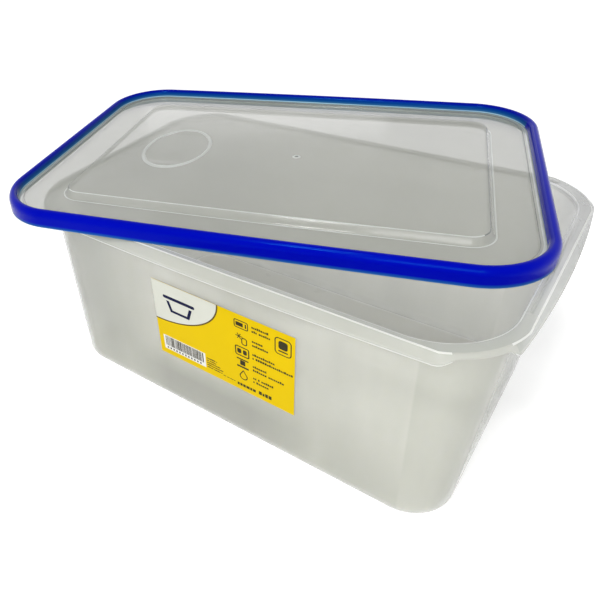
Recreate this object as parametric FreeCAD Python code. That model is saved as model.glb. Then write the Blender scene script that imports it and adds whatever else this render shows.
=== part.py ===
import FreeCAD, Part
import math
import os

# Rectangular clear food tub with a loose clip-on lid lying askew across its mouth.
# Millimetres.  Origin: centre of the tub's flat underside.  +X along the tub's long side,
# +Y to the back, +Z up.  The label is on the front wall, the one that faces -Y.

os.makedirs("parts", exist_ok=True)
Vector = FreeCAD.Vector
UP = Vector(0, 0, 1)

# ---- tub: overall sizes ----
tub_length = 284.0            # across the flange, along X
tub_width = 190.0             # across the flange, along Y
tub_height = 122.0            # underside to the top of the rim
flange_corner_radius = 44.0

# ---- tub: walls and floor ----
wall = 1.4
floor_thickness = 1.8
base_inset = 15.2             # flange edge to the foot of the wall, so it sets the draft
base_corner_radius = 24.0
base_rounding = 6.0           # outside rounding between wall and floor

# ---- tub: rim ----
rim_width = 8.0               # mouth's edge to the flange edge
rim_thickness = 1.5
skirt_width = 4.4             # sloping outer part of the rim
skirt_drop = 3.8              # how far the skirt falls
skirt_edge = 1.2              # upright face along the skirt's edge
mouth_bevel = 0.5

# ---- tub: flange ends and the groove in the short sides' rim ----
flange_setback = 25.0         # a side's straight flange stops this far short of the tub's end
long_flange_return = 7.0      # run of its slanted end across the rim's width
short_flange_return = 4.0
flange_lap = 3.0              # its root reaches in beyond the rim's width, to meet the corners
groove_margin = 5.5           # end of the groove to the start of the corner
groove_width = 1.2
groove_depth = 0.7
groove_setback = 2.1          # mouth's edge to the groove
rib_width = 1.6
rib_height = 0.25

# ---- lid ----
lid_overhang_ends = 7.5       # lid edge beyond the tub's flange when centred: at the short ends
lid_overhang_sides = 11.5     # and along the long sides
lid_corner_radius = 38.0
lid_turn = 17.4               # degrees anticlockwise, seen from above
lid_shift_x = -27.8
lid_shift_y = 27.8
lid_lift = 0.3                # gap between the seal's underside and the rim it lies on

# ---- lid seal: a ring with a domed top that slopes down to the panel on its inner side ----
seal_height = 10.2
seal_width = 6.0
seal_crest = 3.0              # outer face to the start of the ring's highest part
seal_round_height = 4.6       # height of the rounding between outer face and crest
seal_crest_width = 1.2
seal_shoulder_width = 1.3     # the crest falls over this width to the inner slope
seal_shoulder_drop = 1.4
seal_foot_width = 3.4
slot_depth = 4.2              # slot in the ring's inner side that grips the panel
slot_clearance = 0.3

# ---- lid panel ----
sheet = 1.2
ledge_height = 5.2            # top of the ledge above the seal's underside
ledge_width = 2.6
channel_drop = 1.3            # ledge down to the channel
step_draft = 0.5              # sideways run of that small step
plateau_setback_ends = 7.3    # its foot lies inside the outline of a tub stacked on it
plateau_setback_sides = 1.2
plateau_shift = 3.0           # its centre lies this far towards the lid's +X end
plateau_corner_radius = 13.0
plateau_ramp = 3.4            # sideways run of the plateau's side
plateau_rise = 4.1
plateau_rounding = 1.6

# ---- lid panel: raised oval ring and the moulding dimple ----
oval_centre_x = -67.5
oval_centre_y = -2.6
oval_half_x = 22.0
oval_half_y = 31.0
oval_bead_width = 2.4
oval_bead_height = 0.6
dimple_x = 11.5
dimple_y = -1.6
dimple_radius = 2.2
dimple_height = 0.4

# ---- label ----
label_length = 90.5
label_height = 56.5
label_centre_x = 4.0
label_centre_z = 69.0
label_thickness = 0.2

# ---- sizes that follow from the ones above ----
mouth_length = tub_length - 2 * rim_width
mouth_width = tub_width - 2 * rim_width
mouth_corner_radius = flange_corner_radius - rim_width
top_inset = rim_width - wall
base_length = tub_length - 2 * base_inset
base_width = tub_width - 2 * base_inset
draft_run = base_inset - top_inset
draft_slope = draft_run / tub_height
flange_half_length = tub_length / 2
flange_root = rim_width + flange_lap
flange_half_width = tub_width / 2
lid_length = tub_length + 2 * lid_overhang_ends
lid_width = tub_width + 2 * lid_overhang_sides
channel_height = ledge_height - channel_drop
plateau_height = channel_height + plateau_rise
lid_base = tub_height + lid_lift
long_flange_half = flange_half_length - flange_setback
short_flange_half = flange_half_width - flange_setback
groove_half_length = flange_half_width - flange_corner_radius - groove_margin
plateau_length = base_length - 2 * plateau_setback_ends
plateau_width = base_width - 2 * plateau_setback_sides


def rounded_wire(length, width, radius, z):
    """Closed outline of a rounded rectangle centred on the Z axis."""
    half_x = length / 2
    half_y = width / 2
    diagonal = radius * math.sqrt(0.5)
    edges = []
    for turn in range(4):
        angle = 90 * turn
        a, b = (half_x, half_y) if turn % 2 == 0 else (half_y, half_x)
        side = Part.makeLine(Vector(a, radius - b, z), Vector(a, b - radius, z))
        middle = Vector(a - radius + diagonal, b - radius + diagonal, z)
        corner = Part.Arc(Vector(a, b - radius, z), middle, Vector(a - radius, b, z)).toShape()
        for edge in (side, corner):
            edge.rotate(Vector(0, 0, 0), UP, angle)
            edges.append(edge)
    return Part.Wire(edges)


def rounded_block(length, width, radius, z0, z1):
    face = Part.Face(rounded_wire(length, width, radius, z0))
    return face.extrude(Vector(0, 0, z1 - z0))


def drafted_block(bottom, top):
    """Solid between two rounded rectangles, each given as length, width, radius, height."""
    return Part.makeLoft([rounded_wire(*bottom), rounded_wire(*top)], True, True)


def section_face(points, place):
    corners = [place(inset, z) for inset, z in points]
    return Part.Face(Part.makePolygon(corners + [corners[0]]))


def swept_ring(points, length, width, radius):
    """Ring with one cross-section: points are (distance in from the edge, height)."""
    half_x = length / 2
    half_y = width / 2
    pieces = []
    for turn in range(4):
        a, b = (half_x, half_y) if turn % 2 == 0 else (half_y, half_x)
        side = section_face(points, lambda inset, z: Vector(a - inset, radius - b, z))
        side = side.extrude(Vector(0, 2 * (b - radius), 0))
        corner = section_face(points, lambda inset, z: Vector(a - inset, b - radius, z))
        corner = corner.revolve(Vector(a - radius, b - radius, 0), UP, 90)
        for piece in (side, corner):
            piece.rotate(Vector(0, 0, 0), UP, 90 * turn)
            pieces.append(piece)
    return pieces[0].multiFuse(pieces[1:]).removeSplitter()


def both_ends(shape):
    """The shape and its copy turned half round the Z axis."""
    other = shape.copy()
    other.rotate(Vector(0, 0, 0), UP, 180)
    return [shape, other]


def one_solid(shape):
    solids = shape.Solids
    if len(solids) != 1:
        raise ValueError("expected one solid, got %d" % len(solids))
    return solids[0]


def edges_at_height(shape, z):
    found = []
    for edge in shape.Edges:
        box = edge.BoundBox
        if abs(box.ZMin - z) < 0.01 and abs(box.ZMax - z) < 0.01:
            found.append(edge)
    return found


# ---- tub ----
outer_base = (base_length, base_width, base_corner_radius, 0.0)
outer_top = (tub_length - 2 * top_inset, tub_width - 2 * top_inset,
             flange_corner_radius - top_inset, tub_height)
outside = drafted_block(outer_base, outer_top)
outside = outside.makeFillet(base_rounding, edges_at_height(outside, 0.0))

cavity_rise = floor_thickness * draft_slope
cavity_base = (base_length - 2 * wall + 2 * cavity_rise,
               base_width - 2 * wall + 2 * cavity_rise,
               base_corner_radius - wall + cavity_rise, floor_thickness)
cavity_top = (mouth_length, mouth_width, mouth_corner_radius, tub_height)
cavity = drafted_block(cavity_base, cavity_top)
cavity = cavity.makeFillet(base_rounding - wall, edges_at_height(cavity, floor_thickness))

# The rim is flat round the corners.  Along each side it gives way to a sloping flange with
# slanted ends, which stands out past the start of the corners.
rim_root = rim_width - wall / 2
rim_underside = tub_height - rim_thickness
rim_section = [(rim_root, tub_height), (0.0, tub_height),
               (0.0, rim_underside), (rim_root, rim_underside)]
rim = swept_ring(rim_section, tub_length, tub_width, flange_corner_radius)

skirt_low = tub_height - skirt_drop
skirt_foot = skirt_low - skirt_edge
flange_section = [
    (flange_root, tub_height),
    (skirt_width, tub_height),
    (0.0, skirt_low),
    (0.0, skirt_foot),
    (rim_thickness / 2, skirt_foot),
    (skirt_width, rim_underside),
    (flange_root, rim_underside),
]


def flange_footprint(half_across, half_along, end_slant, depth):
    """Upright block with slanted ends that covers a flange from its edge in to the depth."""
    reach = half_along + end_slant * depth
    outline = [Vector(half_across + rim_width, -half_along, 0), Vector(half_across, -half_along, 0),
               Vector(half_across - depth, -reach, 0), Vector(half_across - depth, reach, 0),
               Vector(half_across, half_along, 0), Vector(half_across + rim_width, half_along, 0)]
    return Part.Face(Part.makePolygon(outline + [outline[0]])).extrude(Vector(0, 0, 2 * tub_height))


flanges = []
for half_across, half_along, end_run, turn in (
        (flange_half_width, long_flange_half, long_flange_return, 90),
        (flange_half_length, short_flange_half, short_flange_return, 0)):
    end_slant = end_run / rim_width
    reach = half_along + end_slant * flange_root
    face = section_face(flange_section, lambda inset, z: Vector(half_across - inset, -reach, z))
    flange = face.extrude(Vector(0, 2 * reach, 0))
    flange = flange.common(flange_footprint(half_across, half_along, end_slant, flange_root))
    opening = flange_footprint(half_across, half_along, end_slant, skirt_width)
    for shape in (flange, opening):
        shape.rotate(Vector(0, 0, 0), UP, turn)
    for cut in both_ends(opening):
        rim = rim.cut(cut)
    flanges += both_ends(flange)

groove_edge = mouth_length / 2 + groove_setback
groove = Part.makeBox(groove_width, 2 * groove_half_length, groove_depth,
                      Vector(groove_edge, -groove_half_length, tub_height - groove_depth))
rib_edge = mouth_length / 2 + mouth_bevel
rib_length = rim_width - skirt_width - mouth_bevel
ribs = []
for end in (-1, 1):
    rib_y = end * (groove_half_length + rib_width / 2) - rib_width / 2
    ribs.append(Part.makeBox(rib_length, rib_width, rib_height + rim_thickness / 2,
                             Vector(rib_edge, rib_y, tub_height - rim_thickness / 2)))

tub = outside.multiFuse([rim] + flanges)
for rib in ribs:
    tub = tub.multiFuse(both_ends(rib))
tub = tub.cut(cavity)
for cut in both_ends(groove):
    tub = tub.cut(cut)
mouth_cut = drafted_block(
    (mouth_length, mouth_width, mouth_corner_radius, tub_height - mouth_bevel),
    (mouth_length + 2 * mouth_bevel, mouth_width + 2 * mouth_bevel,
     mouth_corner_radius + mouth_bevel, tub_height))
tub = one_solid(tub.cut(mouth_cut).removeSplitter())
tub.exportStep("parts/tub.step")


def place_lid(shape):
    shape.rotate(Vector(0, 0, 0), UP, lid_turn)
    shape.translate(Vector(lid_shift_x, lid_shift_y, lid_base))
    return shape


# ---- lid seal ----
slot_low = ledge_height - sheet - slot_clearance
slot_high = ledge_height + slot_clearance
slot_wall = seal_width - slot_depth
foot_corner = 0.5
seal_section = [(foot_corner, 0.0), (0.0, foot_corner)]
round_steps = 8
for step in range(round_steps + 1):
    angle = math.radians(90.0 * step / round_steps)
    seal_section.append((seal_crest * (1 - math.cos(angle)),
                         seal_height - seal_round_height * (1 - math.sin(angle))))
crest_end = seal_crest + seal_crest_width
seal_section += [
    (crest_end, seal_height),
    (crest_end + seal_shoulder_width, seal_height - seal_shoulder_drop),
    (seal_width, slot_high),
    (slot_wall, slot_high),
    (slot_wall, slot_low),
    (seal_width, slot_low),
    (seal_width, slot_low - sheet / 2),
    (seal_foot_width, slot_low - sheet * 1.5),
    (seal_foot_width, foot_corner),
    (seal_foot_width - foot_corner, 0.0),
]
seal = swept_ring(seal_section, lid_length, lid_width, lid_corner_radius)
seal = place_lid(one_solid(seal))
seal.exportStep("parts/lid_seal.step")


# ---- lid panel ----
def panel_form(raise_by, grow):
    """Solid under one face of the panel; grow widens the plateau and narrows the basin."""
    edge_inset = slot_wall + slot_clearance
    top = ledge_height + raise_by
    low = channel_height + raise_by
    high = plateau_height + raise_by
    form = rounded_block(lid_length - 2 * edge_inset, lid_width - 2 * edge_inset,
                         lid_corner_radius - edge_inset, -seal_height, top)
    step_inset = seal_width + ledge_width + grow
    basin = drafted_block(
        (lid_length - 2 * step_inset - 2 * step_draft,
         lid_width - 2 * step_inset - 2 * step_draft,
         lid_corner_radius - step_inset - step_draft, low),
        (lid_length - 2 * step_inset, lid_width - 2 * step_inset,
         lid_corner_radius - step_inset, top))
    foot = (plateau_length + 2 * grow, plateau_width + 2 * grow,
            plateau_corner_radius + grow, low)
    crest_inset = plateau_ramp - grow
    crest = (plateau_length - 2 * crest_inset, plateau_width - 2 * crest_inset,
             plateau_corner_radius - crest_inset, high)
    plateau = drafted_block(foot, crest)
    plateau = plateau.makeFillet(plateau_rounding, edges_at_height(plateau, high))
    plateau.translate(Vector(plateau_shift, 0, 0))
    return form.cut(basin).fuse(plateau)


slope_length = math.hypot(plateau_ramp, plateau_rise)
side_shift = sheet * (slope_length - plateau_ramp) / plateau_rise
above = panel_form(0.0, 0.0)
below = panel_form(-sheet, -side_shift)
panel = above.cut(below)


def oval_block(half_x, half_y, z0, z1):
    if half_x > half_y:
        curve = Part.Ellipse(Vector(0, 0, 0), half_x, half_y)
        turn = 0
    else:
        curve = Part.Ellipse(Vector(0, 0, 0), half_y, half_x)
        turn = 90
    block = Part.Face(Part.Wire(curve.toShape())).extrude(Vector(0, 0, z1 - z0))
    block.rotate(Vector(0, 0, 0), UP, turn)
    block.translate(Vector(oval_centre_x, oval_centre_y, z0))
    return block


oval_low = plateau_height - sheet / 2
oval_high = plateau_height + oval_bead_height
oval = oval_block(oval_half_x, oval_half_y, oval_low, oval_high)
oval_hole = oval_block(oval_half_x - oval_bead_width, oval_half_y - oval_bead_width,
                       oval_low, oval_high)
dimple = Part.makeCylinder(dimple_radius, dimple_height + sheet / 2,
                           Vector(dimple_x, dimple_y, plateau_height - sheet / 2))
panel = panel.multiFuse([oval.cut(oval_hole), dimple]).removeSplitter()
panel = place_lid(one_solid(panel))
panel.exportStep("parts/lid_panel.step")

# ---- label ----
label = Part.makeBox(label_length, label_thickness, label_height,
                     Vector(-label_length / 2, -label_thickness, -label_height / 2))
label.rotate(Vector(0, 0, 0), Vector(1, 0, 0), math.degrees(math.atan(draft_slope)))
front_wall_y = flange_half_width - base_inset + draft_slope * label_centre_z
label.translate(Vector(label_centre_x, -front_wall_y, label_centre_z))
label.exportStep("parts/label.step")
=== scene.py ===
"""Clear plastic food tub with a blue-edged lid lying askew on its rim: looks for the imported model.

All shapes are worked out in millimetres in the CAD frame and written as metres.
"""
import math
import random

import bmesh
import bpy
from mathutils import Matrix, Vector
from mathutils.geometry import delaunay_2d_cdt


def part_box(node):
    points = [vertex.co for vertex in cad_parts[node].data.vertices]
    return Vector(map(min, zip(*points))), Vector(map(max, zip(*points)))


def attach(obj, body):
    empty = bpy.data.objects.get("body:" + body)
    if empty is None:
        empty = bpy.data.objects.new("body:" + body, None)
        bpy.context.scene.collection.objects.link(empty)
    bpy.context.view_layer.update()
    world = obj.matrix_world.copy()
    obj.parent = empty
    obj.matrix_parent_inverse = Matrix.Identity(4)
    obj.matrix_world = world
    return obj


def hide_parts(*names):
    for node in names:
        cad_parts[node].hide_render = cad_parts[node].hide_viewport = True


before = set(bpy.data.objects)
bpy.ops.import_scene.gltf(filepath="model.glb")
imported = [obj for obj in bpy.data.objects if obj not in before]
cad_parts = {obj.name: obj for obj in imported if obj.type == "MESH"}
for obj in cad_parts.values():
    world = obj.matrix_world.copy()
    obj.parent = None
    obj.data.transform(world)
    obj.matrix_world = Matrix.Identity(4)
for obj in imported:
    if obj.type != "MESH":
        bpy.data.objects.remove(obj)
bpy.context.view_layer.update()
MM = 0.001
scene = bpy.context.scene

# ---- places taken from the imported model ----
tub_low, tub_high = (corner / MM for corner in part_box("tub"))
seal_low, seal_high = (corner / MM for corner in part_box("lid_seal"))
HALF_LENGTH = (tub_high.x - tub_low.x) / 2
HALF_WIDTH = (tub_high.y - tub_low.y) / 2
LID_CENTRE = (seal_low + seal_high) / 2
LID_BASE = seal_low.z

# ---- tub (mm) ----
TUB_HEIGHT = 122.0
CORNER = 44.0                 # flange corner radius
WALL = 1.4
FLOOR = 1.8
BASE_INSET = 15.2
BASE_CORNER = 24.0
BASE_ROUND = 6.0
CORNER_START = 106.5          # where the long walls turn into the corners
RIM_WIDTH = 8.0
RIM_THICKNESS = 1.5
LONG_CREST = 3.3              # mouth's edge to the fold between land and skirt, on each side
SHORT_CREST = 5.9
CORNER_CREST = 6.6
SKIRT_DROP = 3.8
SKIRT_LIP = 1.4
CORNER_DROP = 1.3             # how far the rim falls to its edge round the corners
CORNER_LIP = 0.9
FLANGE_SETBACK = 25.0
LONG_BOW = (1.0, 2.6)         # a flange's edge stands out in its middle and falls back to its ends
SHORT_BOW = (1.4, 3.6)
LONG_END = (20.0, 33.0)       # angles round the corner between which each flange dies away
SHORT_END = (23.0, 30.0)
GROOVE_HALF = 45.5
GROOVE_SETBACK = 2.1
GROOVE_WIDTH = 1.2
GROOVE_DEPTH = 0.6
RIB_WIDTH = 1.6
RIB_HEIGHT = 0.25

# ---- lid (mm, in its own frame, heights above the seal's underside) ----
LID_LENGTH = 299.0
LID_WIDTH = 213.0
LID_CORNER = 38.0
LID_TURN = math.radians(17.4)
SEAL_HEIGHT = 10.2
SEAL_WIDTH = 6.0
SEAL_CREST = 3.0
SEAL_ROUND_HEIGHT = 4.6
SHEET = 1.2
LEDGE = 5.2
CHANNEL = 3.9
PLATEAU = 8.0
PLATEAU_SHIFT = 3.0
STEP_INSET = 8.6
FOOT_HALF = (119.5, 78.6)
FOOT_CORNER = 13.0
RAMP = 3.4
LID_BOW = 2.0                 # the lid's long edges stand out this much in their middle
OVAL_CENTRE = (-67.5, -2.6)
OVAL_HALF = (22.0, 31.0)
OVAL_WIDTH = 2.4
OVAL_HEIGHT = 0.8
GATE_CENTRE = (11.5, -1.6)

# ---- label (mm, in its own plane) ----
LABEL_HALF = (45.25, 28.25)
LABEL_CENTRE = (4.0, 69.0)
LABEL_TILT = math.radians(-1.2)
LABEL_THICKNESS = 0.15
INK_THICKNESS = 0.03
BOX_STEPS = 5                 # stretches along each rounded corner of a mark
CURVE_STEPS = 28              # stretches along the pale field's border

WALL_SLOPE = (BASE_INSET - (RIM_WIDTH - WALL)) / TUB_HEIGHT


# ------------------------------------------------------------------ shapes
def turned(x, y, quarter):
    """The point turned through so many right angles."""
    return ((x, y), (-y, x), (-x, -y), (y, -x))[quarter % 4]


def outline_point(station, half_x, half_y, radius, inset=0.0):
    """Point on a rounded rectangle and its outward direction, at one station of the outline."""
    quarter, angle, along = station
    a, b = (half_x, half_y) if quarter % 2 == 0 else (half_y, half_x)
    if angle is None:
        point = (a - inset, along * (b - radius))
        out = (1.0, 0.0)
    else:
        out = (math.cos(angle), math.sin(angle))
        point = (a - radius + (radius - inset) * out[0], b - radius + (radius - inset) * out[1])
    return turned(*point, quarter), turned(*out, quarter)


def make_stations(short_places, long_places, angles):
    """Stations round a rounded rectangle: places run from -1 to 1 along a side's straight part."""
    found = []
    for quarter in range(4):
        places = short_places if quarter % 2 == 0 else long_places
        found += [(quarter, None, place) for place in places]
        found += [(quarter, angle, None) for angle in angles]
    return found


def rounded(points, steps=4):
    """Path with its corners rounded. Points are (across, up, radius); a radius of 0 stays sharp."""
    path = []
    for i, (x, y, radius) in enumerate(points):
        if radius == 0.0 or i in (0, len(points) - 1):
            path.append((x, y))
            continue
        here = Vector((x, y))
        ends = []
        for other in (points[i - 1], points[i + 1]):
            way = Vector(other[:2]) - here
            ends.append(here + way.normalized() * min(radius, 0.48 * way.length) if way.length else here)
        for step in range(steps + 1):
            t = step / steps
            spot = ends[0] * (1 - t) ** 2 + here * 2 * t * (1 - t) + ends[1] * t * t
            path.append((spot.x, spot.y))
    return path


def new_object(name, mesh, materials):
    piece = bpy.data.objects.new(name, mesh)
    scene.collection.objects.link(piece)
    for material in materials:
        mesh.materials.append(material)
    return piece


def finish_mesh(name, shape, materials, smooth=True):
    """Turns a bmesh in millimetres into a piece in metres, with its faces pointing out."""
    bmesh.ops.scale(shape, vec=(MM, MM, MM), verts=shape.verts)
    bmesh.ops.recalc_face_normals(shape, faces=shape.faces)
    mesh = bpy.data.meshes.new(name)
    shape.to_mesh(mesh)
    shape.free()
    if smooth:
        mesh.shade_smooth()
    piece = new_object(name, mesh, materials)
    if smooth:
        weighted = piece.modifiers.new("Weighted", "WEIGHTED_NORMAL")
        weighted.mode = "FACE_AREA"
        weighted.weight = 80
        weighted.keep_sharp = True
    return piece


def skin(shape, rings, loop=False):
    """Quads between rings of points. Returns the rings' vertices."""
    made = [[shape.verts.new(point) for point in ring] for ring in rings]
    pairs = list(zip(made, made[1:]))
    if loop:
        pairs.append((made[-1], made[0]))
    for ring, after in pairs:
        for i in range(len(ring)):
            j = (i + 1) % len(ring)
            shape.faces.new((ring[i], ring[j], after[j], after[i]))
    return made


def spread(count):
    """Places between -1 and 1, without the ends."""
    return [-1 + 2 * i / (count + 1) for i in range(1, count + 1)]


# ------------------------------------------------------------------ materials
class Nodes:
    """Small helper for building a node tree."""

    def __init__(self, name):
        self.material = bpy.data.materials.new(name)
        self.material.use_nodes = True
        self.tree = self.material.node_tree
        self.tree.nodes.clear()
        self.coordinates = self.add("ShaderNodeTexCoord")

    def add(self, kind, **settings):
        node = self.tree.nodes.new(kind)
        for key, value in settings.items():
            setattr(node, key, value)
        return node

    def link(self, source, target):
        self.tree.links.new(source, target)

    def noise(self, scale, detail=3.0, stretch=(1, 1, 1)):
        place = self.add("ShaderNodeMapping")
        place.inputs["Scale"].default_value = stretch
        self.link(self.coordinates.outputs["Object"], place.inputs["Vector"])
        node = self.add("ShaderNodeTexNoise")
        node.inputs["Scale"].default_value = scale
        node.inputs["Detail"].default_value = detail
        self.link(place.outputs["Vector"], node.inputs["Vector"])
        return node.outputs["Fac"]

    def to_range(self, source, low, high, start=0.3, end=0.7):
        node = self.add("ShaderNodeMapRange")
        node.inputs["From Min"].default_value = start
        node.inputs["From Max"].default_value = end
        node.inputs["To Min"].default_value = low
        node.inputs["To Max"].default_value = high
        self.link(source, node.inputs["Value"])
        return node.outputs["Result"]

    def blend(self, factor, first, second):
        node = self.add("ShaderNodeMix", data_type="RGBA")
        for socket, value in (("A", first), ("B", second)):
            target = [s for s in node.inputs if s.name == socket and s.type == "RGBA"][0]
            if isinstance(value, tuple):
                target.default_value = (*value, 1)
            else:
                self.link(value, target)
        target = [s for s in node.inputs if s.name == "Factor" and s.type == "VALUE"][0]
        self.link(factor, target)
        return [s for s in node.outputs if s.type == "RGBA"][0]

    def along(self, axis, start, end):
        """0 to 1 between two places along an axis, in millimetres."""
        parts = self.add("ShaderNodeSeparateXYZ")
        self.link(self.coordinates.outputs["Object"], parts.inputs["Vector"])
        return self.to_range(parts.outputs[axis], 0.0, 1.0, start * MM, end * MM)

    def times(self, first, *others):
        for other in others:
            node = self.add("ShaderNodeMath", operation="MULTIPLY")
            self.link(first, node.inputs[0])
            if isinstance(other, float):
                node.inputs[1].default_value = other
            else:
                self.link(other, node.inputs[1])
            first = node.outputs["Value"]
        return first

    def bump(self, height, strength, distance):
        node = self.add("ShaderNodeBump")
        node.inputs["Strength"].default_value = strength
        node.inputs["Distance"].default_value = distance
        self.link(height, node.inputs["Height"])
        return node.outputs["Normal"]

    def surface(self, colour, roughness, normal, **plain):
        shader = self.add("ShaderNodeBsdfPrincipled")
        self.link(colour, shader.inputs["Base Color"])
        self.link(roughness, shader.inputs["Roughness"])
        self.link(normal, shader.inputs["Normal"])
        for key, value in plain.items():
            shader.inputs[key.replace("_", " ")].default_value = value
        out = self.add("ShaderNodeOutputMaterial")
        self.link(shader.outputs["BSDF"], out.inputs["Surface"])
        return self.material


# Where painted shade and light change the tub's colour: an axis, and the places (mm) between which the
# change runs.
LEFT_END_SHADE = ("X", -108.0, -35.0)          # painted shade, darker towards the left end
# painted shade low down on the wall
LOW_SHADE = ("Z", 8.0, 55.0)
# painted shade round the right corners
CORNER_SHADE = ("X", CORNER_START, CORNER_START + 1.0)
# painted shade at the right end
RIGHT_END_SHADE = ("X", 118.0, 134.0)
# painted light on the front left corner
FRONT_CORNER_LIGHT = (("X", -117.0, -121.0), ("Y", -50.0, -62.0))
# the label's shadow, painted on the front wall below it
LABEL_SHADOW = (("Z", 44.0, 26.0), ("X", -72.0, -40.0), ("X", 62.0, 20.0), ("Y", -40.0, -60.0))
LABEL_SHADOW_STRENGTH = 0.75
# painted shade on the right end's far corner
FAR_CORNER_SHADE = (("X", 108.0, 132.0), ("Y", -35.0, 25.0))
PRINT_ROUGHNESS = 0.4


def milky_plastic(name, pale, dull, alpha, roughness, flow, through=1.0, coat=0.1, shade_and_streak=None, far=None):
    """Translucent moulded plastic: cloudy colour, flow marks and a slightly uneven gloss.

    Given a shade colour, it paints shade: greyer at the left end, low down, round the right corners and at
    the right end, and with the label's painted shadow below it; the front left corner gets painted light.
    The same colour tints the flow streaks. Given a far colour, it paints shade on the right end's far
    corner.
    """
    n = Nodes(name)
    cloud = n.noise(9.0, detail=4.0)
    streaks = n.noise(30.0, detail=3.0, stretch=flow)
    colour = n.blend(n.to_range(cloud, 0.0, 1.0), pale, dull)
    if shade_and_streak:
        # painted shade: darker towards the left end
        colour = n.blend(n.along(*LEFT_END_SHADE), shade_and_streak, colour)
        # painted shade: greyer low down
        low = tuple((2 * a + 3 * b) / 5 for a, b in zip(shade_and_streak, dull))
        colour = n.blend(n.along(*LOW_SHADE), low, colour)
        # painted shade: darker round the right corners and at the right end
        corner = tuple(0.9 * a for a in dull)
        end = tuple((shade_part + dull_part) / 2 for shade_part, dull_part in zip(shade_and_streak, dull))
        colour = n.blend(n.along(*CORNER_SHADE), colour, corner)
        colour = n.blend(n.along(*RIGHT_END_SHADE), colour, end)
        # painted shadow of the label, below it on the front wall
        label_shadow_mask = n.times(*(n.along(*stretch) for stretch in LABEL_SHADOW), LABEL_SHADOW_STRENGTH)
        colour = n.blend(label_shadow_mask, colour, shade_and_streak)
        # painted light: the front left corner goes back to the lighter colour
        front_corner_light = n.times(*(n.along(*stretch) for stretch in FRONT_CORNER_LIGHT))
        colour = n.blend(front_corner_light, colour, dull)
    if far:
        # painted shade on the right end's far corner, in the far colour
        far_corner_shade = n.times(*(n.along(*stretch) for stretch in FAR_CORNER_SHADE))
        colour = n.blend(far_corner_shade, colour, far)
    fine = n.blend(n.to_range(streaks, 0.0, 0.3), colour, shade_and_streak or dull)
    rough = n.to_range(streaks, roughness * 0.85, roughness * 1.2)
    normal = n.bump(cloud, 0.03, 0.0008)
    return n.surface(fine, rough, normal, Alpha=alpha, IOR=1.49, Specular_IOR_Level=0.4,
                     Coat_Weight=coat, Coat_Roughness=0.06, Subsurface_Weight=through,
                     Subsurface_Scale=0.004, Subsurface_Radius=(1.0, 1.0, 0.9))


def seal_plastic(name, bands, roughness):
    """Glossy blue plastic that is paler towards its edges, in bands by height: bands are (height, height,
    colour). On the inner flank these bands are painted light and shade.
    """
    n = Nodes(name)
    cloud = n.noise(14.0, detail=2.0)
    colour = bands[0]
    for low, high, above in bands[1:]:
        colour = n.blend(n.along("Z", LID_BASE + low, LID_BASE + high), colour, above)
    deep = n.blend(n.to_range(cloud, 0.0, 0.2), colour, (0.0004, 0.001, 0.24))
    rough = n.to_range(cloud, roughness * 0.9, roughness * 1.15)
    normal = n.bump(cloud, 0.03, 0.0006)
    return n.surface(deep, rough, normal, IOR=1.30, Specular_IOR_Level=0.2,
                     Specular_Tint=(0.04, 0.5, 1.0, 1.0))


def printed(name, colour, worn):
    """Ink or film on the label: faint mottling and a fine grain."""
    n = Nodes(name)
    mottle = n.noise(60.0, detail=4.0)
    grain = n.noise(2500.0, detail=2.0)
    mixed = n.blend(n.to_range(mottle, 0.0, 1.0), colour, worn)
    rough = n.to_range(grain, 0.8 * PRINT_ROUGHNESS, 1.2 * PRINT_ROUGHNESS)
    normal = n.bump(grain, 0.05, 0.0001)
    return n.surface(mixed, rough, normal, IOR=1.2, Specular_IOR_Level=0.2)


tub_wall = milky_plastic("tub_wall", (0.84, 0.84, 0.75), (0.76, 0.77, 0.68), 0.37, 0.18, (1, 1, 0.15),
                         shade_and_streak=(0.37, 0.38, 0.34), far=(0.33, 0.34, 0.31))
tub_floor = milky_plastic("tub_floor", (0.90, 0.90, 0.81), (0.84, 0.84, 0.75), 0.45, 0.30, (1, 1, 1))
tub_rim = milky_plastic("tub_rim", (0.60, 0.61, 0.56), (0.53, 0.54, 0.49), 0.46, 0.40, (0.3, 0.3, 1), 0.5,
                        coat=0.0, far=(0.30, 0.31, 0.29))
# pale, more opaque strips: painted highlight lines along the rim's edges
tub_painted_highlight = milky_plastic("tub_painted_highlight", (0.90, 0.91, 0.87), (0.86, 0.87, 0.83), 0.65, 0.12, (0.3, 0.3, 1), 0.6,
                         far=(0.60, 0.61, 0.58))
# darker strips: painted shade on the rim's land, the short ends' skirt and the tub's bottom edge
tub_painted_shade = milky_plastic("tub_painted_shade", (0.56, 0.58, 0.54), (0.48, 0.50, 0.47), 0.45, 0.16, (0.3, 0.3, 1), 0.4,
                         far=(0.26, 0.27, 0.26))
lid_clear = milky_plastic("lid_clear", (0.43, 0.44, 0.395), (0.38, 0.39, 0.35), 0.47, 0.11, (0.2, 1, 1), 0.5)
# dark lines of painted shade and pale lines of painted highlight on the lid's ridges and steps
lid_painted_shade = milky_plastic("lid_painted_shade", (0.15, 0.165, 0.16), (0.12, 0.135, 0.13), 0.70, 0.16, (0.2, 1, 1), 0.2)
lid_painted_highlight = milky_plastic("lid_painted_highlight", (0.66, 0.69, 0.66), (0.60, 0.63, 0.60), 0.55, 0.10, (0.2, 1, 1), 0.5)
seal_blue = seal_plastic("seal_blue", (
    (0.05, 0.18, 0.40), (0.1, 0.9, (0.010, 0.075, 0.32)), (1.0, 2.2, (0.0003, 0.0010, 0.38))), 0.15)
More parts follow.
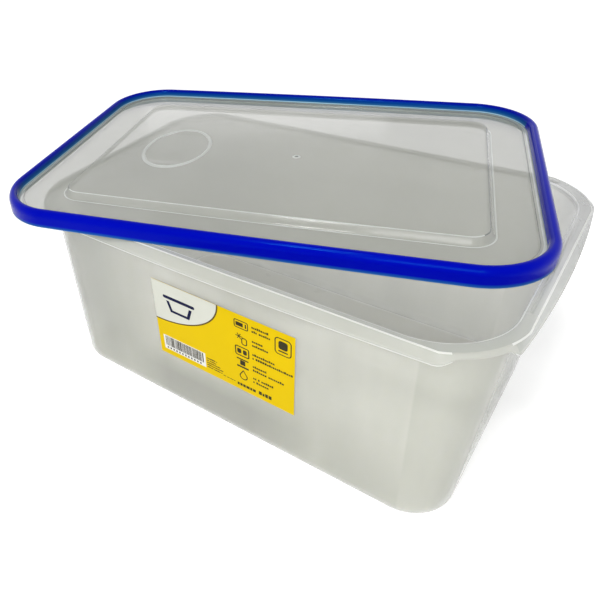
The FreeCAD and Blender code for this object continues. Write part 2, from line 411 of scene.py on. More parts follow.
# the inner flank at the back and left, and the lip under the panel: a pale band of painted light at the
# foot, navy painted shade towards the top
seal_inner_painted = seal_plastic("seal_inner_painted", (
    (0.40, 0.62, 0.72), (5.7, 6.2, (0.03, 0.14, 0.30)), (6.2, 7.6, (0.002, 0.055, 0.24)),
    (7.8, 9.4, (0.0005, 0.003, 0.28))), 0.16)
# the inner flank on the right: a thin pale line of painted light at its foot, then plain blue
seal_shade = seal_plastic("seal_shade", (
    (0.40, 0.62, 0.72), (5.3, 5.5, (0.01, 0.06, 0.30)), (5.5, 6.0, (0.0003, 0.0012, 0.34))), 0.12)
yellow = printed("label_yellow", (0.72, 0.50, 0.0005), (0.70, 0.485, 0.0005))
cream = printed("label_cream", (0.64, 0.65, 0.58), (0.61, 0.62, 0.55))
white = printed("label_white", (0.76, 0.76, 0.73), (0.72, 0.72, 0.69))
brown = printed("label_brown", (0.14, 0.095, 0.02), (0.11, 0.075, 0.015))
black = printed("label_black", (0.045, 0.038, 0.018), (0.03, 0.025, 0.012))
navy = printed("label_navy", (0.008, 0.01, 0.05), (0.006, 0.008, 0.04))


# ------------------------------------------------------------------ tub
CENTRE_ALONG = HALF_LENGTH - CORNER       # centre of the flange corners
CENTRE_ACROSS = HALF_WIDTH - CORNER
FLANGE_ANGLE = math.atan((CORNER - FLANGE_SETBACK) / CORNER)
MOUTH_CORNER = CORNER - RIM_WIDTH
RIM_PLAIN, TUB_FLOOR, RIM_SHADE, RIM_PAINTED_HIGHLIGHT = 1, 2, 3, 4   # the tub's material slots after its wall
RIM_DEPTH = 2.2               # the mouth's edge runs down this far on the inner wall
RIM_FOOT = 2.5                # and the rim's underside this far on the outer wall
UNDERSIDE_INSET = 19.0        # the middle of the underside is one face, from this far in
INNER_FLOOR_INSET = 18.0      # and so is the middle of the inner floor
LEVELS = 12                   # rings up each side of the wall
RIM_PATH = (1, 5, 5, 5, 5, 5, 5, 5, 5, 5, 5, 5, 1)   # points along each corner of the rim's section


def eased(value, start, end):
    """Falls smoothly from 1 at the start to 0 at the end."""
    share = min(1.0, max(0.0, (value - start) / (end - start)))
    return 1 - share * share * (3 - 2 * share)


def flange_edge(along, half_length, bow):
    """How far a flange's edge stands out from the tub's plain rectangle."""
    return bow[0] - bow[1] * (along / half_length) ** 2


def flange_reach(angle, centre, bow, ends):
    """Distance from a corner's centre to the flange edge, and how much of a flange there is."""
    along = centre + CORNER * math.tan(min(angle, FLANGE_ANGLE))
    half_length = centre + CORNER - FLANGE_SETBACK
    straight = (CORNER + flange_edge(along, half_length, bow)) / math.cos(min(angle, math.radians(40)))
    part = eased(math.degrees(angle), *ends)
    return CORNER + (straight - CORNER) * part, part


def rim_shape(station):
    """Sizes of the rim's cross-section at a station: reach, crest, drop, lip, groove, rise."""
    quarter, angle, along = station
    if angle is None:
        groove = rise = 0.0
        if quarter % 2 == 0:
            place = abs(along) * CENTRE_ACROSS
            if place < GROOVE_HALF - 0.1:
                groove = GROOVE_DEPTH
            elif GROOVE_HALF + 0.1 < place < GROOVE_HALF + RIB_WIDTH - 0.1:
                rise = RIB_HEIGHT
            bow = flange_edge(place, CENTRE_ACROSS + CORNER - FLANGE_SETBACK, SHORT_BOW)
            return RIM_WIDTH + bow, SHORT_CREST, SKIRT_DROP, SKIRT_LIP, groove, rise
        place = abs(along) * CENTRE_ALONG
        bow = flange_edge(place, CENTRE_ALONG + CORNER - FLANGE_SETBACK, LONG_BOW)
        return RIM_WIDTH + bow, LONG_CREST, SKIRT_DROP, SKIRT_LIP, groove, rise
    from_long = angle if quarter % 2 == 1 else math.pi / 2 - angle
    from_short = math.pi / 2 - from_long
    long_reach, long_part = flange_reach(from_long, CENTRE_ALONG, LONG_BOW, LONG_END)
    short_reach, short_part = flange_reach(from_short, CENTRE_ACROSS, SHORT_BOW, SHORT_END)
    reach = long_reach if from_long < from_short else short_reach
    part = max(long_part, short_part)
    drop = CORNER_DROP + (SKIRT_DROP - CORNER_DROP) * part
    lip = CORNER_LIP + (SKIRT_LIP - CORNER_LIP) * part
    crest = min((MOUTH_CORNER + LONG_CREST) / max(0.3, math.cos(from_long)),
                (MOUTH_CORNER + SHORT_CREST) / max(0.3, math.cos(from_short)),
                MOUTH_CORNER + CORNER_CREST)
    return reach - MOUTH_CORNER, crest - MOUTH_CORNER, drop, lip, 0.0, 0.0


def rim_section(station):
    """Path of (distance out from the mouth's edge, height), from inside the mouth to the outer wall."""
    out, crest, drop, lip, groove, rise = rim_shape(station)
    top = TUB_HEIGHT + rise
    foot = TUB_HEIGHT - drop - lip
    under = TUB_HEIGHT - RIM_THICKNESS
    g0 = min(GROOVE_SETBACK, 0.62 * crest)
    g1 = min(g0 + GROOVE_WIDTH, 0.8 * crest)
    points = [
        (-0.02, TUB_HEIGHT - RIM_DEPTH, 0.0),
        (0.0, top, 0.7),
        (g0, top, 0.12),
        (g0 + 0.15, top - groove, 0.12),
        (g1 - 0.15, top - groove, 0.12),
        (g1, top, 0.12),
        (crest, top + 0.12, 0.5),
        (out, TUB_HEIGHT - drop, 0.9),
        (out, foot, 0.45),
        (out - 0.9, foot, 0.3),
        (crest - 0.3, under, 0.8),
        (WALL + 0.1, under, 0.5),
        (WALL - 0.15, under - RIM_FOOT, 0.0),
    ]
    return rounded(points)


def on_flange(station):
    angle = station[1]
    return angle is None or min(angle, math.pi / 2 - angle) < math.radians(28)


def build_tub():
    angles = [math.radians(90.0 * i / 40) for i in range(41)]
    short = [i / 51.0 for i in (45.2, 45.5, 45.9, 46.7, 47.1, 47.4)]
    short_places = sorted([-s for s in short] + short + [i / 8 for i in range(-7, 8)])
    stations = make_stations(short_places, spread(17), angles)

    def wall_ring(half, radius, inset, z):
        ring = []
        for station in stations:
            (x, y), _ = outline_point(station, *half, radius, inset)
            ring.append((x, y, z))
        return ring

    def outer(z):
        """Outline of the outer wall at a height: half sizes and corner radius."""
        share = z / TUB_HEIGHT
        inset = BASE_INSET - WALL_SLOPE * z
        top_corner = CORNER - (RIM_WIDTH - WALL)
        return (HALF_LENGTH - inset, HALF_WIDTH - inset), BASE_CORNER + (top_corner - BASE_CORNER) * share

    def inner(z):
        half, radius = outer(z)
        return (half[0] - WALL, half[1] - WALL), radius - WALL

    rings = []
    half, radius = outer(0.0)
    rings.append(wall_ring(half, radius, UNDERSIDE_INSET, 0.0))
    rings.append(wall_ring(half, radius, BASE_ROUND + 1.0, 0.0))
    for step in range(9):
        turn = math.radians(90.0 * (1 - step / 8))
        z = BASE_ROUND * (1 - math.sin(turn))
        half, radius = outer(z)
        rings.append(wall_ring(half, radius, BASE_ROUND * (1 - math.cos(turn)), z))
    low, high = BASE_ROUND, TUB_HEIGHT - RIM_THICKNESS - RIM_FOOT
    for step in range(1, LEVELS):
        z = low + (high - low) * step / LEVELS
        half, radius = outer(z)
        rings.append(wall_ring(half, radius, 0.0, z))
    sections = [rim_section(station) for station in stations]
    mouth = (HALF_LENGTH - RIM_WIDTH, HALF_WIDTH - RIM_WIDTH)
    rim_start = len(rings)
    for i in reversed(range(len(sections[0]))):
        ring = []
        for station, section in zip(stations, sections):
            (x, y), (nx, ny) = outline_point(station, *mouth, CORNER - RIM_WIDTH)
            out, z = section[i]
            ring.append((x + nx * out, y + ny * out, z))
        rings.append(ring)
    rim_end = len(rings)
    inner_round = BASE_ROUND - WALL
    low, high = FLOOR + inner_round, TUB_HEIGHT - RIM_DEPTH
    for step in range(1, LEVELS + 1):
        z = high + (low - high) * step / LEVELS
        half, radius = inner(z)
        rings.append(wall_ring(half, radius, 0.0, z))
    for step in range(1, 9):
        turn = math.radians(90.0 * step / 8)
        z = FLOOR + inner_round * (1 - math.sin(turn))
        half, radius = inner(z)
        rings.append(wall_ring(half, radius, inner_round * (1 - math.cos(turn)), z))
    half, radius = inner(FLOOR)
    rings.append(wall_ring(half, radius, INNER_FLOOR_INSET, FLOOR))

    shape = bmesh.new()
    made = skin(shape, rings)
    shape.faces.new(made[0])
    shape.faces.new(made[-1])
    shape.normal_update()
    shape.faces.ensure_lookup_table()
    count = len(stations)
    mouth_edge = (RIM_PATH[0], sum(RIM_PATH[:2]) - 1)
    land = (sum(RIM_PATH[:2]) - 1, sum(RIM_PATH[:6]))
    crest = (sum(RIM_PATH[:6]), sum(RIM_PATH[:7]) - 1)
    skirt = (sum(RIM_PATH[:7]) - 1, sum(RIM_PATH[:7]))
    lip = (sum(RIM_PATH[:8]) - 1, sum(RIM_PATH[:9]) - 1)
    # the mouth's edge, the crest and the lip: painted highlight lines
    light = [spot for low, high in (mouth_edge, crest, lip) for spot in range(low, high)]
    for strip in range(rim_start, rim_end - 1):
        place = len(sections[0]) - 2 - (strip - rim_start)
        for station, face in zip(stations, shape.faces[strip * count:(strip + 1) * count]):
            face.material_index = RIM_PLAIN
            # the land between the mouth's edge and the crest: a band of painted shade
            if land[0] <= place < land[1]:
                face.material_index = RIM_SHADE
            elif place in light and (place < land[0] or on_flange(station)):
                face.material_index = RIM_PAINTED_HIGHLIGHT
            # the skirt along the short ends: painted shade
            elif skirt[0] <= place < skirt[1] and abs(face.calc_center_median().x) > HALF_LENGTH - 4:
                face.material_index = RIM_SHADE
    for face in shape.faces:
        centre = face.calc_center_median()
        if centre.z < FLOOR + 0.3 and abs(face.normal.z) > 0.9:
            face.material_index = TUB_FLOOR
        # a strip of painted shade along the bottom edge, where the tub stands
        elif centre.z < 0.9:
            face.material_index = RIM_SHADE
    return finish_mesh("tub_shell", shape, (tub_wall, tub_rim, tub_floor, tub_painted_shade, tub_painted_highlight))


# ------------------------------------------------------------------ lid
def lid_point(x, y, z):
    c, s = math.cos(LID_TURN), math.sin(LID_TURN)
    y += LID_BOW * y / (LID_WIDTH / 2) * (1 - (x / (LID_LENGTH / 2)) ** 2)
    return (LID_CENTRE.x + c * x - s * y, LID_CENTRE.y + s * x + c * y, LID_BASE + z)


LID_STATIONS = make_stations(spread(9), spread(13), [math.radians(90.0 * i / 24) for i in range(25)])


def lid_ring(half, radius, inset, z, shift=0.0):
    ring = []
    for station in LID_STATIONS:
        (x, y), _ = outline_point(station, *half, radius, inset)
        ring.append(lid_point(x + shift, y, z))
    return ring


LID_HALF = (LID_LENGTH / 2, LID_WIDTH / 2)
SLOT_WALL = 1.8               # seal material outside the slot that grips the panel
SEAL_INNER_PAINTED, SEAL_SHADE = 1, 2            # the seal's material slots after its blue
LID_CLEAR, LID_PAINTED_SHADE, LID_PAINTED_HIGHLIGHT = 0, 1, 2   # the panel's material slots


def on_right(station):
    """The seal's right side and the corner in front of it."""
    quarter, angle, _ = station
    if angle is None:
        return quarter == 0
    return quarter == 3 or (quarter == 0 and angle < math.radians(12))


def build_seal():
    slot_low = LEDGE - SHEET - 0.25
    slot_high = LEDGE + 0.1
    points = [(1.4, 0.0, 0.0), (0.0, 0.0, 0.4)]
    for step in range(10):
        angle = math.radians(90.0 * step / 9)
        points.append((SEAL_CREST * (1 - math.cos(angle)),
                       SEAL_HEIGHT - SEAL_ROUND_HEIGHT * (1 - math.sin(angle)), 0.0))
    crest_end = SEAL_CREST + 1.2
    points += [
        (crest_end, SEAL_HEIGHT - 0.15, 0.8),
        (crest_end + 1.2, SEAL_HEIGHT - 1.5, 1.0),
        (SEAL_WIDTH, slot_high + 0.3, 0.3),
        (SEAL_WIDTH, slot_high, 0.0),
        (SLOT_WALL, slot_high, 0.0),
        (SLOT_WALL, slot_low, 0.0),
        (SEAL_WIDTH, slot_low, 0.2),
        (SEAL_WIDTH - 0.2, slot_low - 0.7, 0.2),
        (3.4, slot_low - 1.8, 0.4),
        (3.4, 0.0, 0.4),
    ]
    path = rounded(points)
    rings = [lid_ring(LID_HALF, LID_CORNER, inset, z) for inset, z in path]
    shape = bmesh.new()
    skin(shape, rings, loop=True)
    shape.faces.ensure_lookup_table()
    for i, (inset, z) in enumerate(path):
        after = path[(i + 1) % len(path)]
        inner = inset + after[0] > 2 * crest_end - 1.0 and z > slot_high - 0.01
        foot = inset + after[0] > 6.6 and z < slot_low + 0.01
        for station, face in zip(LID_STATIONS, shape.faces[i * len(LID_STATIONS):]):
            # the inner flank is coloured apart on the right and at the back and left, as painted light and
            # shade
            if inner and on_right(station):
                face.material_index = SEAL_SHADE
            elif inner or foot:
                face.material_index = SEAL_INNER_PAINTED
    return finish_mesh("lid_ring", shape, (seal_blue, seal_inner_painted, seal_shade))


def plateau_height(x, y):
    """Height of the moulded details on top of the plateau."""
    dx = (x - OVAL_CENTRE[0]) / OVAL_HALF[0]
    dy = (y - OVAL_CENTRE[1]) / OVAL_HALF[1]
    size = math.hypot(dx, dy)
    height = 0.0
    if size > 0.5:
        inward = (1 - size) * min(OVAL_HALF) / (OVAL_WIDTH / 2) - 1
        if abs(inward) < 1:
            height = OVAL_HEIGHT * math.cos(inward * math.pi / 2) ** 0.8
    return height


BORDER_INSET = 3.0            # the plateau's flat top starts this far inside its crest
FOOT_MARGIN = 2.5             # flat stretches of the channel beside the plateau's foot
LEDGE_MARGIN = 2.0            # and beside the ledge's step
CREST = 9                     # stands for the plateau's top edge: painted highlight in front, painted shade elsewhere
FRONT = 3


def faces_front(station):
    quarter, angle, _ = station
    if angle is None or quarter not in (FRONT, FRONT - 1):
        return quarter == FRONT
    return (angle < math.pi / 4) == (quarter == FRONT)


def panel_face(raise_by, grow):
    """Rings of one face of the panel, from the crest outwards, and the material of each strip."""
    inner_half = tuple(size - STEP_INSET for size in LID_HALF)
    inner_corner = LID_CORNER - STEP_INSET
    section = [(RAMP + BORDER_INSET, PLATEAU, LID_CLEAR)]
    steps = 12
    for step in range(steps + 1):
        t = step / steps
        height = CHANNEL + (PLATEAU - CHANNEL) * (1 + math.cos(math.pi * t)) / 2
        # the ramp's foot gets a painted highlight line
        kind = CREST if t < 0.12 else LID_PAINTED_HIGHLIGHT if t > 0.85 else LID_CLEAR
        section.append((RAMP * (1 - t), height, kind))
    section.append((-0.5, CHANNEL, LID_CLEAR))
    section.append((-FOOT_MARGIN, CHANNEL, LID_CLEAR))
    rings = [lid_ring(FOOT_HALF, FOOT_CORNER, inset - grow, z + raise_by, PLATEAU_SHIFT)
             for inset, z, _ in section]
    strips = [kind for _, _, kind in section]
    # the channel: from the plateau's foot out to the ledge's step
    start = tuple(size + FOOT_MARGIN + grow for size in FOOT_HALF)
    end = tuple(size - LEDGE_MARGIN - grow for size in inner_half)
    start_corner = FOOT_CORNER + FOOT_MARGIN + grow
    end_corner = inner_corner - LEDGE_MARGIN - grow
    for step in range(1, 5):
        t = step / 5
        half = tuple(a + (b - a) * t for a, b in zip(start, end))
        radius = start_corner + (end_corner - start_corner) * t
        rings.append(lid_ring(half, radius, 0.0, CHANNEL + raise_by, PLATEAU_SHIFT * (1 - t)))
        strips.append(LID_CLEAR)
    ledge = rounded([
        (LEDGE_MARGIN + grow, CHANNEL + raise_by, 0.0),
        (0.6 + grow, CHANNEL + raise_by, 0.4),
        (grow, LEDGE + raise_by, 0.4),
        (-1.2 + grow, LEDGE + raise_by, 0.0),
    ], steps=3)
    for i, (inset, z) in enumerate(ledge):
        rings.append(lid_ring(inner_half, inner_corner, inset, z))
        # the ledge's top edge is a painted highlight line, its step a painted shade line
        strips.append(LID_PAINTED_HIGHLIGHT if i == len(ledge) - 1 else LID_PAINTED_SHADE if i in (5, 6) else LID_CLEAR)
    rings.append(lid_ring(LID_HALF, LID_CORNER, SLOT_WALL + 0.3, LEDGE + raise_by))
    return rings, strips


def build_panel():
    crest_half = tuple(size - RAMP for size in FOOT_HALF)
    slope = math.hypot(RAMP, PLATEAU - CHANNEL)
    shift = SHEET * (slope - RAMP) / (PLATEAU - CHANNEL)
    upper, upper_strips = panel_face(0.0, 0.0)
    lower, lower_strips = panel_face(-SHEET, -shift)
    shape = bmesh.new()
    made = skin(shape, upper + lower[::-1])
    shape.faces.ensure_lookup_table()
    for i, kind in enumerate(upper_strips + [LID_CLEAR] + lower_strips[::-1]):
        for face in shape.faces[i * len(LID_STATIONS):(i + 1) * len(LID_STATIONS)]:
            face.material_index = kind
        # the crest strip: painted highlight on the front, painted shade on the other sides
        if kind == CREST:
            for station, face in zip(LID_STATIONS, shape.faces[i * len(LID_STATIONS):]):
                face.material_index = LID_PAINTED_HIGHLIGHT if faces_front(station) else LID_PAINTED_SHADE
    shape.faces.new(made[-1])

    # the plateau's top, triangulated round the oval bead and the gate mark
    border = []
    for station in LID_STATIONS:
        (x, y), _ = outline_point(station, *crest_half, FOOT_CORNER - RAMP, BORDER_INSET)
        border.append((x + PLATEAU_SHIFT, y))
    loops = [border]
    for inward in (-0.5, 0.0, 0.25, 0.75, 1.0, 1.2, 1.4, 1.65, 2.15, 2.4, 2.9):
        loops.append([(OVAL_CENTRE[0] + (OVAL_HALF[0] - inward) * math.cos(2 * math.pi * i / 96),
                       OVAL_CENTRE[1] + (OVAL_HALF[1] - inward) * math.sin(2 * math.pi * i / 96))
                      for i in range(96)])
    gate = ((3.0, 0.0), (2.6, 0.0), (2.2, 0.2), (1.9, 0.42), (1.5, 0.42), (1.1, 0.12), (0.5, 0.08))
    gate_heights = {}
    for radius, height in gate:
        loop = [(GATE_CENTRE[0] + radius * math.cos(2 * math.pi * i / 24),
                 GATE_CENTRE[1] + radius * math.sin(2 * math.pi * i / 24)) for i in range(24)]
        loops.append(loop)
        gate_heights[radius] = height
    points, edges = [], []
    for loop in loops:
        start = len(points)
        points += [Vector(spot) for spot in loop]
        edges += [(start + i, start + (i + 1) % len(loop)) for i in range(len(loop))]
    spots, _, faces, origins, _, _ = delaunay_2d_cdt(points, edges, [], 1, 1e-5)
    verts = []
    for spot, origin in zip(spots, origins):
        x, y = spot
        if origin and origin[0] < len(border):
            verts.append(made[0][origin[0]])
            continue
        from_gate = math.hypot(x - GATE_CENTRE[0], y - GATE_CENTRE[1])
        if from_gate < 3.1:
            radius = min(gate_heights, key=lambda size: abs(size - from_gate))
            height = gate_heights[radius]
        else:
            height = plateau_height(x, y)
        verts.append(shape.verts.new(lid_point(x, y, PLATEAU + height)))
    for face in faces:
        made_face = shape.faces.new([verts[i] for i in face])
        x = sum(spots[i][0] for i in face) / len(face)
        y = sum(spots[i][1] for i in face) / len(face)
        size = math.hypot((x - OVAL_CENTRE[0]) / OVAL_HALF[0], (y - OVAL_CENTRE[1]) / OVAL_HALF[1])
        inward = (1 - size) * min(OVAL_HALF)
        from_gate = math.hypot(x - GATE_CENTRE[0], y - GATE_CENTRE[1])
        # the oval bead and the gate mark's ring get painted highlight, the gate mark's middle painted shadow
        if 0.0 < inward < OVAL_WIDTH or 1.1 < from_gate < 2.6:
            made_face.material_index = LID_PAINTED_HIGHLIGHT
        elif from_gate < 1.1:
            made_face.material_index = LID_PAINTED_SHADE
    return finish_mesh("lid_sheet", shape, (lid_clear, lid_painted_shade, lid_painted_highlight))


# ------------------------------------------------------------------ label
def label_point(u, v, out):
    """Place on the front wall: u to the right, v up, from the label's centre."""
    c, s = math.cos(LABEL_TILT), math.sin(LABEL_TILT)
    x = LABEL_CENTRE[0] + c * u - s * v
    z = LABEL_CENTRE[1] + s * u + c * v
    lean = math.atan(WALL_SLOPE)
    y = -(HALF_WIDTH - BASE_INSET + WALL_SLOPE * z)
    return (x, y - out * math.cos(lean), z - out * math.sin(lean))


def plate(shape, outline, low, high):
    """Thin closed plate on the label, from its outline in label coordinates."""
    bottom = [shape.verts.new(label_point(u, v, low)) for u, v in outline]
    top = [shape.verts.new(label_point(u, v, high)) for u, v in outline]
    shape.faces.new(bottom[::-1])
    shape.faces.new(top)
    for i in range(len(outline)):
        j = (i + 1) % len(outline)
        shape.faces.new((bottom[i], bottom[j], top[j], top[i]))


def box_outline(u, v, width, height):
    return [(u - width / 2, v - height / 2), (u + width / 2, v - height / 2),
            (u + width / 2, v + height / 2), (u - width / 2, v + height / 2)]


def round_box(u, v, width, height, radius):
    points = []
    for quarter in range(4):
        cx = (width / 2 - radius) * (1 if quarter in (0, 3) else -1)
        cy = (height / 2 - radius) * (1 if quarter in (0, 1) else -1)
        for step in range(BOX_STEPS + 1):
            angle = math.radians(90.0 * (quarter + step / BOX_STEPS))
            points.append((u + cx + radius * math.cos(angle), v + cy + radius * math.sin(angle)))
    return points


def band(points, width, closed=False):
    """Strips along a line of points, one quad outline for each stretch."""
    count = len(points) if closed else len(points) - 1
    found = []
    for i in range(count):
        a = Vector(points[i])
        b = Vector(points[(i + 1) % len(points)])
        way = (b - a).normalized()
        side = Vector((-way.y, way.x)) * width / 2
        lap = way * width * 0.2
        found.append([tuple(p) for p in (a - lap - side, b + lap - side, b + lap + side, a - lap + side)])
    return found


def dashes(rng, u, v, length, height):
    """A row of small marks that stands for a line of small print."""
    found = []
    at = u
    while at < u + length:
        width = height * rng.uniform(0.45, 0.8)
        if rng.random() < 0.12 and at > u:
            at += height * 0.6
            continue
        rise = height * rng.choice((0.75, 0.75, 1.0))
        found.append(box_outline(at + width / 2, v - (height - rise) / 2, width, rise))
        at += width + height * 0.18
    return found


def cream_curve():
    """The lower right border of the pale field, from the label's left edge to its top edge."""
    centre = (-46.0, LABEL_HALF[1])
    a, b = 45.4, 28.9
    points = []
    start = math.asin(min(1.0, (centre[0] + LABEL_HALF[0]) / a + 0.02))
    for step in range(CURVE_STEPS + 1):
        angle = start + (math.pi / 2 - start) * step / CURVE_STEPS
        points.append((centre[0] + a * math.sin(angle), centre[1] - b * math.cos(angle)))
    points[0] = (-LABEL_HALF[0], points[0][1])
    return points


def build_label():
    rng = random.Random(5)
    base = LABEL_THICKNESS
    ink = base + INK_THICKNESS
    over = ink + INK_THICKNESS
    backing = bmesh.new()
    plate(backing, box_outline(0, 0, 2 * LABEL_HALF[0], 2 * LABEL_HALF[1]), 0.0, base)
    made = [finish_mesh("label_film", backing, (yellow,), smooth=False)]

    curve = cream_curve()
    fields = bmesh.new()
    plate(fields, curve + [(-LABEL_HALF[0], LABEL_HALF[1])], base, ink)
    made.append(finish_mesh("label_pale_field", fields, (cream,), smooth=False))
    code = bmesh.new()
    plate(code, box_outline(-26.8, -18.5, 30.4, 11.2), base, ink)
    made.append(finish_mesh("label_code_field", code, (white,), smooth=False))

    border = bmesh.new()
    for outline in band(curve, 0.9):
        plate(border, outline, base, over)
    made.append(finish_mesh("label_border", border, (brown,), smooth=False))

    marks = []
    at = -40.6
    while at < -13.6:
        width = rng.choice((0.25, 0.25, 0.5, 0.75))
        marks.append(box_outline(at + width / 2, -17.2, width, 7.6))
        at += width + rng.choice((0.25, 0.3, 0.5))
    for step in range(12):
        marks.append(box_outline(-39.6 + 2.2 * step, -22.6, 1.0, 1.3))
    rows = (21.8, 11.9, 2.4, -6.6, -15.6)
    lengths = ((9.5, 11.0), (6.0, 9.5), (12.5, 24.0), (8.0, 18.0), (12.0, 9.5))
    for v, (first, second) in zip(rows, lengths):
        marks += dashes(rng, 20.4, v + 1.5, first, 1.5)
        marks += dashes(rng, 20.4, v - 1.3, second, 1.5)
    for line, length in enumerate((7.0, 6.0, 9.0, 11.0, 10.0)):
        marks += dashes(rng, -10.6, -15.6 - 1.75 * line, length, 0.9)
    marks += dashes(rng, 0.5, -23.4, 8.0, 0.6)
    marks += dashes(rng, 10.0, -23.6, 21.0, 2.6)
    # oven, snowflake and jug, dishwasher, dish on a table, drop
    marks += band(round_box(14.0, 21.8, 8.2, 5.2, 1.0), 0.55, closed=True)
    marks += [box_outline(13.0, 21.8, 4.4, 2.6), box_outline(16.8, 21.8, 0.8, 2.8)]
    for turn in range(3):
        c, s = math.cos(math.radians(60 * turn)), math.sin(math.radians(60 * turn))
        marks += band([(12.4 - 2.0 * c, 13.2 - 2.0 * s), (12.4 + 2.0 * c, 13.2 + 2.0 * s)], 0.5)
    marks += band(round_box(15.6, 10.4, 3.0, 4.6, 1.1), 0.6, closed=True)
    marks += band(round_box(14.0, 2.4, 8.2, 6.4, 0.9), 0.7, closed=True)
    marks += [round_box(12.2, 2.4, 2.6, 3.4, 0.9), round_box(15.7, 2.4, 2.4, 3.4, 0.9)]
    marks += [box_outline(14.0, -3.6, 7.4, 0.9), box_outline(14.0, -6.2, 3.2, 3.6),
              box_outline(14.0, -9.4, 7.4, 1.2)]
    drop = [(14.2, -12.0)]
    for step in range(13):
        angle = math.radians(35 - 250 * step / 12)
        drop.append((14.2 + 2.3 * math.cos(angle), -16.6 + 2.3 * math.sin(angle)))
    marks += band(drop, 0.6, closed=True)
    marks += band(round_box(38.6, 18.6, 9.0, 11.0, 2.0), 0.6, closed=True)
    marks += [round_box(38.6, 19.6, 5.2, 5.6, 1.4), box_outline(38.6, 15.4, 5.4, 0.9)]
    print_marks = bmesh.new()
    for outline in marks:
        plate(print_marks, outline, base, over)
    made.append(finish_mesh("label_print", print_marks, (black,), smooth=False))

    sign = bmesh.new()
    plate(sign, round_box(-27.0, 18.6, 22.0, 2.2, 1.0), ink, over)
    plate(sign, [(-36.0, 16.0), (-33.6, 8.2), (-20.4, 8.2), (-18.0, 16.0), (-20.0, 16.0),
                 (-21.9, 10.0), (-32.1, 10.0), (-34.0, 16.0)], ink, over)
    made.append(finish_mesh("label_sign", sign, (navy,), smooth=False))
    return made


# ------------------------------------------------------------------ pieces on the frame
tub = build_tub()
seal = build_seal()
panel = build_panel()
label_parts = build_label()
for piece, node, slot in ((tub, "tub", "tub_plastic"), (seal, "lid_seal", "seal_plastic"),
                          (panel, "lid_panel", "lid_plastic")):
    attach(piece, "root")
    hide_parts(node)
for piece in label_parts:
    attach(piece, "root")
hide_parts("label")


# ------------------------------------------------------------------ floor, light and camera
FLOOR_SIZE = 6000.0           # mm from the middle of the floor to its sides
FLOOR_DROP = 0.0002           # m below the tub's underside
FLOOR_GLOW = 0.38             # added to the floor's own white under the object
FAR_GLOW = 0.60               # and far from it, where the lamps no longer reach
GLOW_REACH = (300.0, 800.0)   # mm from the object, between which the glow grows
SOFT_LIGHT = 0.47             # even light from all round
SEEN_RAYS = ("Is Camera Ray", "Is Glossy Ray", "Is Transmission Ray")   # these find the background white


def seen_rays(tree):
    """1 for the rays that look at the background, mirror it or pass through glass, and 0 for others."""
    path = tree.nodes.new("ShaderNodeLightPath")
    found = path.outputs[SEEN_RAYS[0]]
    for name in SEEN_RAYS[1:]:
        either = tree.nodes.new("ShaderNodeMath")
        either.operation = "MAXIMUM"
        tree.links.new(found, either.inputs[0])
        tree.links.new(path.outputs[name], either.inputs[1])
        found = either.outputs["Value"]
    return found


def white_floor():
    """Pale floor that keeps the object's shadow and turns white away from it."""
    n = Nodes("floor_white")
    grain = n.noise(40.0)
    shade = n.blend(n.to_range(grain, 0.0, 1.0), (0.86, 0.86, 0.86), (0.84, 0.84, 0.84))
    shader = n.add("ShaderNodeBsdfDiffuse")
    n.link(shade, shader.inputs["Color"])
    glow = n.add("ShaderNodeEmission")
    away = n.add("ShaderNodeVectorMath", operation="LENGTH")
    n.link(n.coordinates.outputs["Object"], away.inputs[0])
    near, far = (distance * MM for distance in GLOW_REACH)
    strength = n.to_range(away.outputs["Value"], FLOOR_GLOW, FAR_GLOW, near, far)
    n.link(strength, glow.inputs["Strength"])
    both = n.add("ShaderNodeAddShader")
    n.link(shader.outputs["BSDF"], both.inputs[0])
    n.link(glow.outputs["Emission"], both.inputs[1])
    mix = n.add("ShaderNodeMixShader")
    n.link(seen_rays(n.tree), mix.inputs["Fac"])
    n.link(shader.outputs["BSDF"], mix.inputs[1])
    n.link(both.outputs["Shader"], mix.inputs[2])
    out = n.add("ShaderNodeOutputMaterial")
    n.link(mix.outputs["Shader"], out.inputs["Surface"])
    return n.material


floor_shape = bmesh.new()
bmesh.ops.create_grid(floor_shape, x_segments=1, y_segments=1, size=FLOOR_SIZE)
floor = finish_mesh("floor", floor_shape, (white_floor(),), smooth=False)
floor.location.z = -FLOOR_DROP

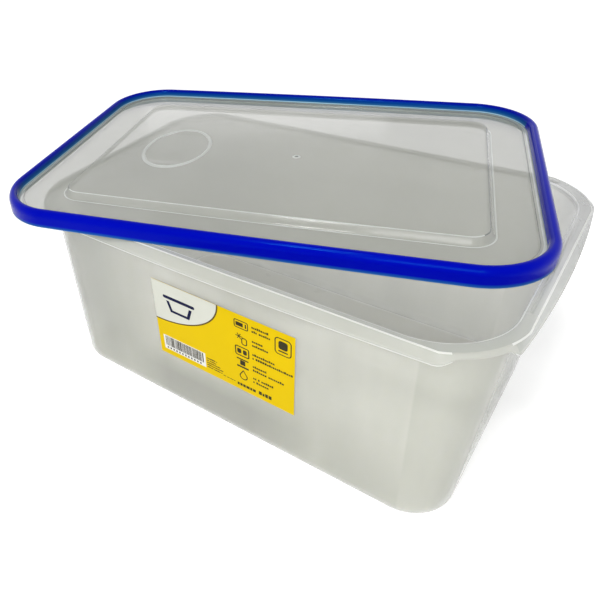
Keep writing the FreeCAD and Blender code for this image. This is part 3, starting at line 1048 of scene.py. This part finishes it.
world = bpy.data.worlds.new("studio")
scene.world = world
world.use_nodes = True
tree = world.node_tree
tree.nodes.clear()
soft, plain = (tree.nodes.new("ShaderNodeBackground") for _ in range(2))
for light, strength in ((soft, SOFT_LIGHT), (plain, 1.0)):
    light.inputs["Color"].default_value = (1, 1, 1, 1)
    light.inputs["Strength"].default_value = strength
mix = tree.nodes.new("ShaderNodeMixShader")
out = tree.nodes.new("ShaderNodeOutputWorld")
tree.links.new(seen_rays(tree), mix.inputs["Fac"])
tree.links.new(soft.outputs["Background"], mix.inputs[1])
tree.links.new(plain.outputs["Background"], mix.inputs[2])
tree.links.new(mix.outputs["Shader"], out.inputs["Surface"])


def area_lamp(name, place, aim, size, power):
    """Rectangular lamp: place, aim and size in metres, power in watts."""
    data = bpy.data.lights.new(name, "AREA")
    data.shape = "RECTANGLE"
    data.size, data.size_y = size
    data.energy = power
    lamp = bpy.data.objects.new(name, data)
    scene.collection.objects.link(lamp)
    lamp.location = place
    lamp.rotation_euler = (Vector(aim) - Vector(place)).to_track_quat("-Z", "Y").to_euler()


area_lamp("top", (0.05, -0.75, 1.75), (0, 0, 0.1), (0.3, 0.3), 6.0)
area_lamp("key", (0.13, -1.05, 1.24), (0, 0, 0.12), (0.20, 0.06), 6.5)
area_lamp("front", (0.55, -0.90, 0.55), (0.02, 0, 0.06), (0.5, 0.4), 5.1)
area_lamp("back", (-1.06, 1.68, 0.80), (-0.1, 0.05, 0.12), (0.90, 0.20), 0.6)

CAMERA_PLACE = (0.16013, -0.29478, 0.29457)
CAMERA_LENS = 37.69
CAMERA_SHIFT = (0.2227, -0.0557)
yaw, pitch, roll = -0.736, 0.582, -0.097      # radians
forward = Vector((math.sin(yaw) * math.cos(pitch), math.cos(yaw) * math.cos(pitch), -math.sin(pitch)))
level = Vector((math.cos(yaw), -math.sin(yaw), 0.0))
upright = level.cross(forward)
right = level * math.cos(roll) + upright * math.sin(roll)
up = upright * math.cos(roll) - level * math.sin(roll)
camera = bpy.data.objects.new("camera", bpy.data.cameras.new("camera"))
scene.collection.objects.link(camera)
basis = Matrix((right, up, -forward)).transposed().to_4x4()
camera.matrix_world = Matrix.Translation(CAMERA_PLACE) @ basis
camera.data.sensor_width = 36.0
camera.data.lens = CAMERA_LENS
camera.data.shift_x, camera.data.shift_y = CAMERA_SHIFT
camera.data.clip_start = 0.01
camera.data.clip_end = 100.0
scene.camera = camera
scene.view_settings.view_transform = "Standard"

bpy.context.view_layer.update()
